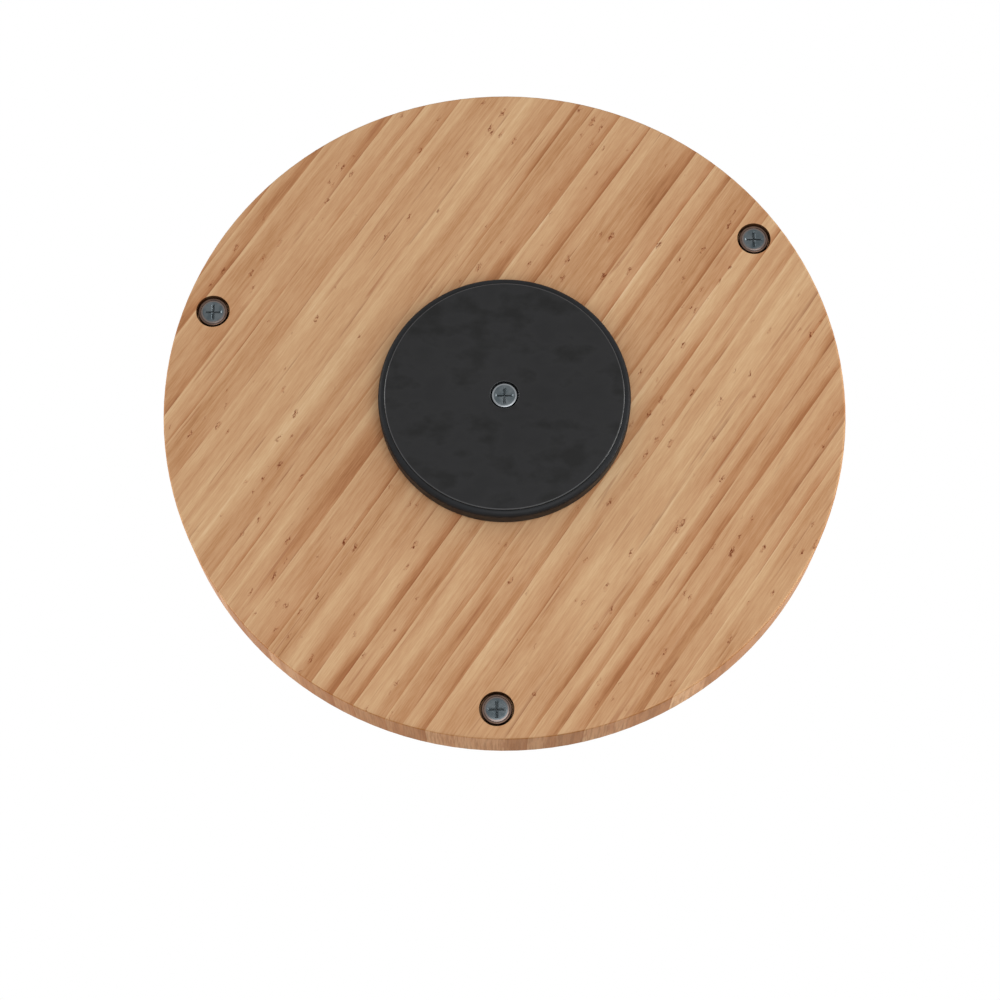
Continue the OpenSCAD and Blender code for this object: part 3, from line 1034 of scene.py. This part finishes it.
@dataclass
class SoftBox:
    """Rectangular soft lamp that points at the middle of the object."""

    name: str
    azimuth: float  # heading in which it stands
    elevation: float  # above the horizon, or below it where negative
    distance: float
    width: float
    height: float
    level: float  # share of full light that it gives a white surface facing it

    def build(self) -> None:
        """Adds the lamp. A power of pi squared watts gives full light at a metre."""
        lamp = bpy.data.lights.new(self.name, "AREA")
        lamp.shape, lamp.size, lamp.size_y = "RECTANGLE", self.width * MM, self.height * MM
        lamp.energy = self.level * math.pi**2 * (self.distance * MM) ** 2
        holder = bpy.data.objects.new(self.name, lamp)
        away = heading(self.azimuth, self.elevation)
        holder.location = away * self.distance * MM
        holder.rotation_mode = "QUATERNION"
        holder.rotation_quaternion = away.to_track_quat("Z", "Y")
        holder.visible_camera = False
        bpy.context.scene.collection.objects.link(holder)


@dataclass
class StudioCamera:
    """Camera that looks up at the underside of the board.

    Places are given in the picture's own directions, from the middle of the board's underside: to the
    right, down and towards the camera.
    """

    lens: float = 85.0
    sensor: float = 36.0
    right_azimuth: float = 125.0  # heading of the picture's right
    right: float = 0.38  # place of the camera
    down: float = 297.75
    near: float = 828.06
    aim_right: float = -1.66  # point that it looks at
    aim_down: float = 37.7
    clip: tuple[float, float] = (0.01, 20.0)  # nearest and farthest distance that it sees, in metres

    def build(self) -> None:
        """Adds the camera and makes it the scene's."""
        right, down = heading(self.right_azimuth), heading(self.right_azimuth + 90)
        middle = Vector((0, 0, corners("board")[0].z))
        place = middle + right * self.right + down * self.down - Vector((0, 0, self.near))
        aim = middle + right * self.aim_right + down * self.aim_down
        ahead = (aim - place).normalized()
        side = ahead.cross(-down).normalized()
        up = side.cross(ahead)
        camera = bpy.data.cameras.new("studio_camera")
        camera.lens, camera.sensor_width = self.lens, self.sensor
        camera.clip_start, camera.clip_end = self.clip
        holder = bpy.data.objects.new("studio_camera", camera)
        turned_by = Matrix((side, up, -ahead)).transposed().to_4x4()
        holder.matrix_world = Matrix.Translation(place * MM) @ turned_by
        bpy.context.scene.collection.objects.link(holder)
        bpy.context.scene.camera = holder


@dataclass
class Studio:
    """Pale floor, white backdrop, soft lamps and the camera."""

    ambient: float = 0.55  # share of full light that comes evenly from all round
    floor_r: float = 900.0
    floor_fade: float = 300.0  # radius from which the floor melts into the backdrop
    floor_gap: float = 0.3  # depth of the floor below the pad, so that their faces don't meet
    floor_tones: tuple[str, str] = ("#F4F3F1", "#F6F5F3")
    fibre: float = 2.0  # size of the floor paper's mottling
    shade_reach: float = 130.0  # distance at which the object still shades the floor
    shade_floor: float = 0.07  # share of light left where the shade is deepest
    # Each lamp's name, azimuth, elevation, distance, width, height and level.
    lamps: tuple[SoftBox, ...] = (
        SoftBox("key_below", 185, -68, 1300, 1000, 1000, 0.478),
        SoftBox("right_strip_below", 106, -13, 1000, 260, 200, 0.13),
        SoftBox("left_strip_below", 326, -13, 1000, 260, 200, 0.1),
        SoftBox("right_side", 130, 18, 1000, 500, 1000, 1.2),
        SoftBox("left_side", 280, 22, 1100, 500, 500, 0.76),
        SoftBox("left_strip", 328, 18, 1000, 350, 1000, 0.38),
        SoftBox("key_above", 35, 64, 1300, 600, 600, 0.1),
    )

    def _world(self) -> None:
        """Makes the world white to the camera and in reflections, and an even soft light elsewhere."""
        world = bpy.data.worlds.new("white_studio")
        bpy.context.scene.world = world
        world.use_nodes = True
        tree = world.node_tree
        tree.nodes.clear()
        path = add_node(tree, "LightPath")
        camera, glossy = path.outputs["Is Camera Ray"], path.outputs["Is Glossy Ray"]
        seen = add_node(tree, "Math", camera, glossy, operation="MAXIMUM")
        seen = add_node(tree, "Math", seen, path.outputs["Is Transmission Ray"], operation="MAXIMUM")
        strength = add_node(tree, "Math", seen, 1 - self.ambient, self.ambient, operation="MULTIPLY_ADD")
        add_node(tree, "OutputWorld", add_node(tree, "Background", (1, 1, 1, 1), strength))

    def _floor_material(self) -> bpy.types.Material:
        """Makes the floor's material: it shows its upper face to the camera alone, and light passes it.

        Returns:
            The material.
        """
        made = bpy.data.materials.new("matt_paper_floor")
        made.use_nodes = True
        tree = made.node_tree
        tree.nodes.clear()
        place = add_node(tree, "TexCoord").outputs["Object"]
        under = add_node(tree, "NewGeometry").outputs["Backfacing"]
        over = add_node(tree, "Math", 1.0, under, operation="SUBTRACT")
        reach = add_node(tree, "VectorMath", place, operation="LENGTH").outputs["Value"]
        fade = add_node(tree, "MapRange", reach, self.floor_fade * MM, self.floor_r * MM, 1.0, 0.0)
        shown = add_node(tree, "Math", add_node(tree, "LightPath"), over, operation="MULTIPLY")
        shown = add_node(tree, "Math", shown, fade, operation="MULTIPLY")
        paper = Figure((self.fibre,) * 3).spread(tree, place, MM)
        colour = add_node(tree, "ValToRGB", paper, stops=dict(zip((0.3, 0.7), self.floor_tones)))
        # Light from below would glow on the floor under the board, where a real floor lies in shade.
        open_sky = add_node(tree, "AmbientOcclusion", None, self.shade_reach * MM, samples=16).outputs["AO"]
        shade = add_node(tree, "MapRange", open_sky, 0.0, 1.0, self.shade_floor, 1.0)
        inputs = {"Factor": 1.0, "A": colour, "B": shade}
        shaded = add_node(tree, "Mix", named=inputs, data_type="RGBA", blend_type="MULTIPLY")
        matt = add_node(tree, "BsdfDiffuse", shaded.outputs["Result"])
        clear = add_node(tree, "BsdfTransparent")
        add_node(tree, "OutputMaterial", add_node(tree, "MixShader", shown, clear, matt))
        return made

    def _floor(self) -> None:
        """Lays the round floor."""
        shape = bmesh.new()
        bmesh.ops.create_circle(shape, cap_ends=True, radius=self.floor_r, segments=96)
        floor = finished(shape, "studio_floor", Vector((0, 0, -self.floor_gap)))
        floor.data.materials.append(self._floor_material())

    def build(self) -> None:
        """Builds the studio."""
        self._world()
        self._floor()
        for lamp in self.lamps:
            lamp.build()
        StudioCamera().build()
        bpy.context.scene.view_settings.view_transform = "Standard"


def main() -> None:
    """Builds the turntable's looks and its studio, and logs each piece with its first material."""
    logging.basicConfig(level=logging.INFO, format="%(name)s: %(message)s")
    for part in (Board(), Base(), Bearing(), Fasteners(), Gallery()):
        for piece in part.build():
            log.info("%s: %s, %s", type(part).__name__, piece.name, piece.data.materials[0].name)
    Studio().build()


if __name__ == "__main__":
    main()
